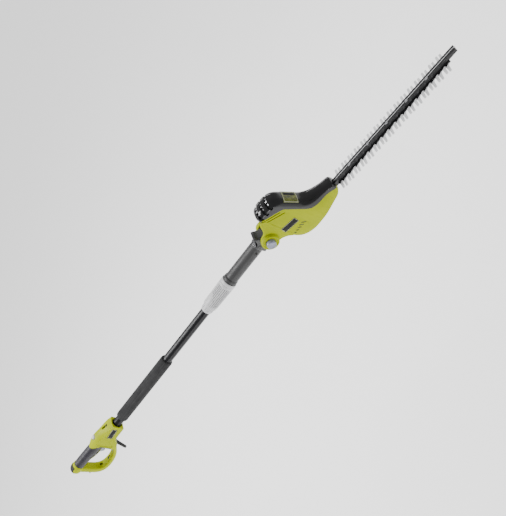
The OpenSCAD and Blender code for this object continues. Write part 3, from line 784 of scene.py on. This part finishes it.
def shell_body():
    """The lime part of the head with both sides in one, hollow and open for the rail and the blades."""
    body = head_body("head_shell_body")
    combine(body, [cover_zone(0.5)], "DIFFERENCE")
    combine(body, [cavity_cut(24, head_width)], "DIFFERENCE")
    nose = block("cut_nose", (40, 19, 16), HEAD @ at(226, 0, -52.5), 0)
    nose_blades = block("cut_nose_blades", (40, 34, 7), HEAD @ at(226, 0, -61), 0)
    combine(body, [nose, nose_blades], "DIFFERENCE")
    return body


def arm_weight(x, z):
    """The edges of an arm are rounded round the pivot and square where the arm runs into its shell."""
    return clamp((44 - x) / 8)


def pivot_arm(side):
    """One arm of a shell that reaches back to the tilt axis, with a round pocket in its outer face."""
    low, high = sorted((side * 27.9, side * 18.4))
    arm = slab("head_arm", curved(ARM_OUTLINE), soft_edges(high, 4, 4, 5, low), HEAD, arm_weight)
    pocket_profile = [(-1, 0.2), (-1, 14.2), (30, 14.2), (30, 0.2)]
    pocket = lathe("cut_pocket", pocket_profile, HEAD @ at(0, side * 24.6, 0, 0, 0, side * 90), 64)
    combine(arm, [pocket, cavity_cut(24)], "DIFFERENCE")
    return arm


def shell_cuts(side, materials):
    """Two moulded grooves, five vents and the seat of the badge in one shell. A dark insert lies in each
    groove and vent as painted shade."""
    cuts = []
    for k in range(2):
        number = side_name(side) + "_" + str(k + 1)
        line = HEAD @ at(66 + 4.6 * k, side * HEAD_HALF, 51.9 - 11 * k, 23.4 + 1.6 * k)
        cuts.append(block("cut_groove", (58 + 4 * k, 7, 2.6), line, 0))
        # A dark insert at the bottom of the groove, as painted shade
        place = line @ at(0, side * -2.8, 0)
        shade = block("head_groove_shade_" + number, (57 + 4 * k, 1, 2.4), place, 0)
        place_piece(shade, "head", "black_matte", materials)
    for k in range(5):
        number = side_name(side) + "_" + str(k + 1)
        length = 6.5 + 2.0 * k
        x = 56 + 9.8 * k
        z = -45 + 0.9 * k
        cuts.append(block("cut_vent", (length, 8, 3.6), HEAD @ at(x, side * 29, z, 50), 0))
        # A dark insert inside the vent, as painted shade
        place = HEAD @ at(x, side * 27, z, 50)
        shade = block("head_vent_shade_" + number, (length - 0.2, 1.2, 3.4), place, 0)
        place_piece(shade, "head", "black_matte", materials)
    cuts.append(block("cut_badge", (51, 2.4, 20), HEAD @ at(70, side * 28.6, -13, 8), 0))
    return cuts


def make_head_shells(materials):
    """The left and right shells, each with its pivot arm and boss."""
    body = shell_body()
    for side in SIDES:
        arm = pivot_arm(side)
        boss = lathe("head_boss", BOSS_PROFILE, HEAD @ at(0, side * 18.4, 0, 0, 0, side * 90), 96)
        shell = half_of(body, "head_shell_half", side)
        combine(shell, shell_cuts(side, materials), "DIFFERENCE")
        made = join("head_shell_" + side_name(side), [shell, arm, boss])
        place_piece(made, "head", "lime_shell", materials, "head_" + side_name(side))
    bpy.data.objects.remove(body)


def make_motor_cover(materials):
    """The glossy cover over the motor, with three long slots across its dome."""
    cover = head_body("motor_cover_shell", 0.5)
    combine(cover, [cover_zone()], "INTERSECT")
    combine(cover, [cavity_cut(22.5, head_width)], "DIFFERENCE")
    cuts = []
    for k in range(3):
        place = HEAD @ at(53 + 19 * k, 0, 79, 8 - 8 * k, 90)
        cuts.append(slab("cut_slot", slot_outline(8.6, 64, 4), [(-17 + 2 * k, 0), (20, 0)], place))
    cuts.append(block("cut_nose", (40, 19, 12), HEAD @ at(226, 0, -54), 0))
    combine(cover, cuts, "DIFFERENCE")
    place_piece(cover, "head", "black_gloss", materials, "motor_cover")


def make_grilles(materials):
    """A dark liner under the slots of the dome as painted shade, and short steel ribs in each slot that
    follow its curve.
    """
    # The liner paints shade into the slots of the dome
    liner = head_body("cover_vent_liner", -3.4)
    combine(liner, [block("keep_dome", (62, 60, 30), HEAD @ at(72, 0, 72), 0)], "INTERSECT")
    place_piece(liner, "head", "black_matte", materials)
    for k in range(3):
        ribs = []
        for y in (-13.5, -3, 7.5, 17):
            drop = 7.5 * (abs(y) / 19) ** 2.4
            place = HEAD @ at(53 + 19 * k, y, 79.4 - drop - 0.9 * (k - 1) ** 2, 8 - 8 * k, -y * 1.6)
            ribs.append(block("rib", (8.4, 5.6, 4), place, 0.8))
        grille = join("cover_vent_grille_" + str(k + 1), ribs)
        place_piece(grille, "head", "steel", materials)


def cover_layer(name, grow, size, place, *cutters):
    """A thin layer on the cover: the head grown a little, kept inside a box and hollowed by the cutters."""
    layer = head_body(name, grow)
    combine(layer, [block("keep_box", size, place, 0)], "INTERSECT")
    combine(layer, list(cutters), "DIFFERENCE")
    return layer


def make_label(materials):
    """The blank label on the cover: a plate, a pale border and a dark band, with no lettering."""
    place = HEAD @ at(132.6, 0, 31, 65.8)
    core = head_body("cut_core", 0.2)
    plate = cover_layer("cover_label_plate", 0.8, (42, 45, 26), place, core)
    place_piece(plate, "head", "label", materials, "cover_label")
    core = head_body("cut_core", 0.4)
    inside = block("cut_middle", (37.4, 40.4, 34), place, 0)
    rim = cover_layer("cover_label_border", 1.05, (40, 43, 26), place, core, inside)
    place_piece(rim, "head", "pale_line", materials)
    core = head_body("cut_core", 0.4)
    band = cover_layer("cover_label_band", 0.95, (31, 10, 26), place @ at(0, 8, 0), core)
    place_piece(band, "head", "badge", materials)


def make_badge(owner, body, side, length, height, place, materials):
    """A blank badge plate with a pale border, and no lettering."""
    plate = block(owner + "_badge_" + side_name(side), (length, height, 1.2), place, 0.3)
    place_piece(plate, body, "badge", materials, owner + "_badges")
    name = owner + "_badge_border_" + side_name(side)
    border = frame_strip(name, length - 1.4, height - 1.4, place @ at(0, 0, 0.55))
    place_piece(border, body, "pale_line", materials)


def make_badges(materials):
    """The badges of the head and of the rear handle, on both sides."""
    for side in SIDES:
        make_badge("head", "head", side, 50, 19, HEAD @ at(70, side * 27.7, -13, 8, side * -90), materials)
        make_badge("handle", "pole", side, 44, 17, at(-204, side * 20, 3, -4, side * -90), materials)


def make_tilt_button(materials):
    """The round release button on the right, hollow for its spring and dished on its face."""
    profile = [(4.7, 0.3), (4.7, 10), (0, 10), (0, 13.2), (9.5, 13.4), (11.6, 12.9), (13.2, 11.6),
               (13.8, 10.4), (13.6, 9.6), (12.9, 8.8), (12.6, 6), (12.5, 0.3)]
    button = lathe("tilt_release_button", profile, HEAD @ at(0, -32, 0, 0, 0, -90), 80)
    place_piece(button, "tilt_button", "blue_grey", materials, "tilt_button")


# ---------------------------------------------------------------- rear handle

HANDLE_HALF = 20.6
TONGUE_START = -278
LOCK_X = -255.5
SLOT_X = -200
# The height of the middle of the rear ring
RING_Z = 15.6
HOUSING_OUTLINE = [(-170, 20.6), (-170, 20.6), (-184, 25.5), (-205, 31), (-235, 36.8), (-258, 38.8),
                   (-276, 37.2), (-292, 33), (-301, 30.5), (-301, 30.5), (-300, 27), (-289, 25.5),
                   (-279, 22.5), (-274, 16), (-272.5, 6), (-272, -26), (-276, -33), (-276, -33), (-262, -44),
                   (-262, -44), (-243, -35), (-236, -24), (-226, -20.5), (-170, -19.6), (-170, -19.6)]
HOUSING_CAVITY = [(-176, 12), (-201, 18), (-236, 25), (-262, 27), (-268, 20), (-268, 6), (-267, 0),
                  (-264, -10), (-262, -26), (-246, -25), (-237, -13), (-176, -13)]
SIDE_PANEL = [(-219, 20), (-219, 20), (-260, -27), (-266, -27), (-268, -8), (-269, 10), (-268, 21),
              (-262, 23.5), (-262, 23.5)]
LOOP_PATH = [(-254, -31, 8.5, 17.5), (-267, -39.5, 8.2, 17), (-282, -50, 7.4, 15.6), (-302, -60.5, 7.2, 15),
             (-324, -66.8, 7.6, 15), (-350, -69, 8, 15.2), (-373, -66, 9, 15.6), (-389, -57.5, 10.4, 15.8),
             (-398, -44, 11, 15.8), (-402, -26, 11.2, 15.8), (-405, -8, 11.6, 15.8), (-408, 6, 12, 15.6)]
# The two recesses inside the finger loop: x, z and their turn in degrees
LOOP_RECESSES = ((-339, -61.2, 6), (-381, -57.6, -12))
RING_PROFILE = [(-397, 14.4), (-396.4, 16), (-397, 17.6), (-399, 18.4), (-405, 18.7), (-415, 18.6),
                (-423, 17.4), (-428.5, 14.8), (-430.8, 10.6), (-431, 6), (-431, 0.4), (-397, 0.4)]


def handle_weight(x, z):
    """The top of the housing is arched, least at the front, and its other edges stay where they are."""
    return clamp((z - 8) / 14) * min(1.0, max(0.35, 0.35 + (-186 - x) / 70))


def handle_housing():
    """The housing with an arched top, whose tongue over the rear grip comes to a rounded end."""
    arch = []
    for y in (-20.6, -18.6, -16, -12.6, -8.8, -4.6, 0, 4.6, 8.8, 12.6, 16, 18.6, 20.6):
        arch.append((y, 10.6 * (abs(y) / HANDLE_HALF) ** 2.1))
    housing = slab("handle_housing", curved(HOUSING_OUTLINE), arch, PART, handle_weight, drop=True)
    for v in housing.data.vertices:
        behind = TONGUE_START * MM - v.co.x
        if behind > 0 and v.co.z > 4 * MM:
            v.co.x += behind * (abs(v.co.y) / (HANDLE_HALF * MM)) ** 3
    return housing


def housing_cuts():
    """The room inside the housing, its openings, the seats of the badges and the recessed side panels."""
    cuts = [slab("cut_cavity", curved(HOUSING_CAVITY, 3), [(-13, 0), (13, 0)], PART)]
    cuts.append(lathe("cut_socket", [(-240, 0.2), (-240, 14.1), (-160, 14.1), (-160, 0.2)], PART, 64))
    cuts.append(lathe("cut_mouth", [(-176, 0.2), (-176, 17.4), (-160, 17.6), (-160, 0.2)], PART, 64))
    lock_hole = [(-1, 0.2), (-1, 8.6), (30, 8.6), (30, 0.2)]
    cuts.append(lathe("cut_lock", lock_hole, at(LOCK_X, 0, 30, -90), 48))
    slot_place = at(SLOT_X, 0, 36, -14, 90)
    cuts.append(slab("cut_top_slot", slot_outline(24, 7.6, 3.6), [(-12, 0), (4.6, 0)], slot_place))
    for side in SIDES:
        cuts.append(block("cut_badge", (45, 2.4, 18), at(-204, side * 21, 3, -4), 0))
    for side in SIDES:
        cuts.append(slab("cut_panel", curved(SIDE_PANEL, 4), [(-1.6, 0), (1.6, 0)], at(0, side * 20.9, 0)))
    return cuts


def finger_loop():
    """The bar of the finger loop, with two recesses in its upper face."""
    loop = sweep("handle_loop", LOOP_PATH, 3.6, 44)
    dips = []
    for x, z, turn in LOOP_RECESSES:
        dips.append(slab("cut_dip", slot_outline(17, 7.6, 3.7), [(-4, 0), (7, 0)], at(x, 0, z, turn, 90)))
    return combine(loop, dips, "DIFFERENCE")


def make_handle(materials):
    """The two housing shells with the rear ring, the two halves of the finger loop, the dark insert in the
    top slot, and dark plugs that paint shade into the loop's recesses.
    """
    housing = combine(handle_housing(), housing_cuts(), "DIFFERENCE")
    loop = finger_loop()
    ring = lathe("handle_ring", RING_PROFILE, at(0, 0, RING_Z), 80)
    for side in SIDES:
        tag = side_name(side)
        made = join("handle_shell_" + tag, [half_of(housing, "half", side), half_of(ring, "half", side)])
        place_piece(made, "pole", "lime_shell", materials, "handle_" + tag)
        bar = half_of(loop, "finger_loop_shell_" + tag, side)
        place_piece(bar, "pole", "lime_shell", materials, "finger_loop_" + tag)
    for whole in (housing, loop, ring):
        bpy.data.objects.remove(whole)
    slot_floor = block("handle_slot_insert", (23.4, 7, 2), at(SLOT_X, 0, 25, -14), 0.3)
    place_piece(slot_floor, "pole", "black_matte", materials)
    # A dark plug in each recess of the loop, as painted shade
    for k, (x, z, turn) in enumerate(LOOP_RECESSES):
        place = at(x, 0, z - 4.2, turn, 90)
        plug = slab("loop_recess_" + str(k + 1), slot_outline(16.6, 7.2, 3.5), [(-1.6, 0), (2.2, 0)], place)
        place_piece(plug, "pole", "black_matte", materials)


def make_rear_grip(materials):
    """The soft rear grip with a window for the trigger, and an accent line and a panel on each side."""
    path = [(-266, 9.5, 15, 15.5), (-276, 9.4, 18.4, 17), (-290, 9.6, 20.4, 17.6), (-303, 10, 20.4, 17.6),
            (-314, 11, 19.9, 17.4), (-328, 12.6, 18.7, 17.2), (-345, 14.3, 17.4, 17),
            (-364, 15.4, 16.7, 16.8), (-384, 15.8, 16.5, 16.6), (-394, 15.7, 16.5, 16.5),
            (-399, 15.6, 16, 16)]
    grip = sweep("rear_soft_grip", path, 2.15, 64)
    window = block("cut_window", (36, 15.4, 22), at(-298, 0, -8), 0)
    combine(grip, [window], "DIFFERENCE")
    place_piece(grip, "pole", "soft_grip", materials, "rear_grip_sleeve")
    for side in SIDES:
        accent_path = [(-288, side * 15.4, -2.5), (-300, side * 15.6, -3), (-314, side * 15.8, -2),
                       (-328, side * 16.2, 1.5), (-342, side * 16.7, 7)]
        accent = bead("grip_accent_" + side_name(side), accent_path, 0.9)
        place_piece(accent, "pole", "lime_shell", materials)
        panel_path = [(-281, side * 17.2, 12), (-294, side * 17.5, 10), (-308, side * 17.4, 10),
                      (-320, side * 17.2, 12)]
        panel = bead("grip_panel_" + side_name(side), panel_path, 5.5, 0.16)
        place_piece(panel, "pole", "upper_grey", materials)


def make_end_cap(materials):
    """Black rubber bumper set in the back of the rear ring."""
    profile = [(-407, 20), (-417, 20), (-424.4, 18.4), (-429.6, 15.2), (-431.8, 11), (-432, 6), (-429, 5.4),
               (-427, 10), (-421, 14.6), (-409, 17), (-407, 20)]
    cap = lathe("rear_bumper", profile, at(0, 0, RING_Z), 80)
    upper_sector = block("keep_sector", (60, 26, 30), at(-423, 0, 34.2), 0)
    combine(cap, [upper_sector], "INTERSECT")
    place_piece(cap, "pole", "black_rubber", materials, "rear_end_cap")


def make_trigger(materials):
    """The finger trigger, with a curved front edge."""
    points = [(-282, 6.5), (-288, 6.6), (-300, 2), (-312, -4.5), (-314, -8), (-311.5, -13), (-308, -18),
              (-304.5, -23), (-300, -24.4), (-295, -23.2), (-291, -18), (-288.5, -9), (-286, -1.5),
              (-282, 1)]
    trigger = slab("finger_trigger", curved(points), soft_edges(6.7, 2.4, 2.4, 5), PART)
    place_piece(trigger, "trigger", "blue_grey", materials, "trigger")


def make_lock_button(materials):
    """The domed lock-off button, a little longer than it is wide."""
    profile = [(-4, 0.3), (-4, 6.6), (6.6, 6.9), (8.6, 6.4), (9.8, 5.2), (10.5, 3.4), (10.7, 0.3)]
    button = lathe("lock_off_button", profile, at(LOCK_X, 0, 31.6, -90), 64)
    middle = LOCK_X * MM
    for v in button.data.vertices:
        v.co.x = (v.co.x - middle) * 1.14 + middle
    place_piece(button, "lock_button", "light_grey", materials, "lock_button")


def make_cord_guard(materials):
    """Ribbed rubber guard: a wide root and a tapering sleeve with rings."""
    profile = [(-10, 3.7), (-10, 8.2), (6, 8.2), (8, 7.6), (10, 6.6)]
    for k in range(9):
        x = 13 + 4.4 * k
        r = 6.1 - 0.12 * k
        profile += [(x, r), (x + 0.7, r - 0.8), (x + 1.9, r - 0.8), (x + 2.6, r)]
    profile += [(59, 4.9), (61, 4.8), (62, 4.3), (62, 3.7), (-10, 3.7)]
    guard = lathe("cord_guard_sleeve", profile, at(-251, 0, -30, 112), 56)
    place_piece(guard, "pole", "black_rubber", materials, "cord_guard")


# ---------------------------------------------------------------- the whole tool

def paint_nodes(materials):
    """Every CAD node gets its slot's material, also where a piece stands for it."""
    slots = {entry["node"]: entry.get("material_slot") for entry in frame["record"]["subparts"]}
    for name, node in frame["nodes"].items():
        paint(node, materials.get(slots.get(name), materials["dark_grey"]))


def main():
    make_camera()
    make_studio()
    materials = make_materials()
    paint_nodes(materials)
    make_foam(materials)
    make_upper_tube(materials)
    make_collar(materials)
    make_knuckle(materials)
    make_head_shells(materials)
    make_motor_cover(materials)
    make_grilles(materials)
    make_label(materials)
    make_badges(materials)
    make_tilt_button(materials)
    make_handle(materials)
    make_rear_grip(materials)
    make_end_cap(materials)
    make_trigger(materials)
    make_lock_button(materials)
    make_cord_guard(materials)


main()
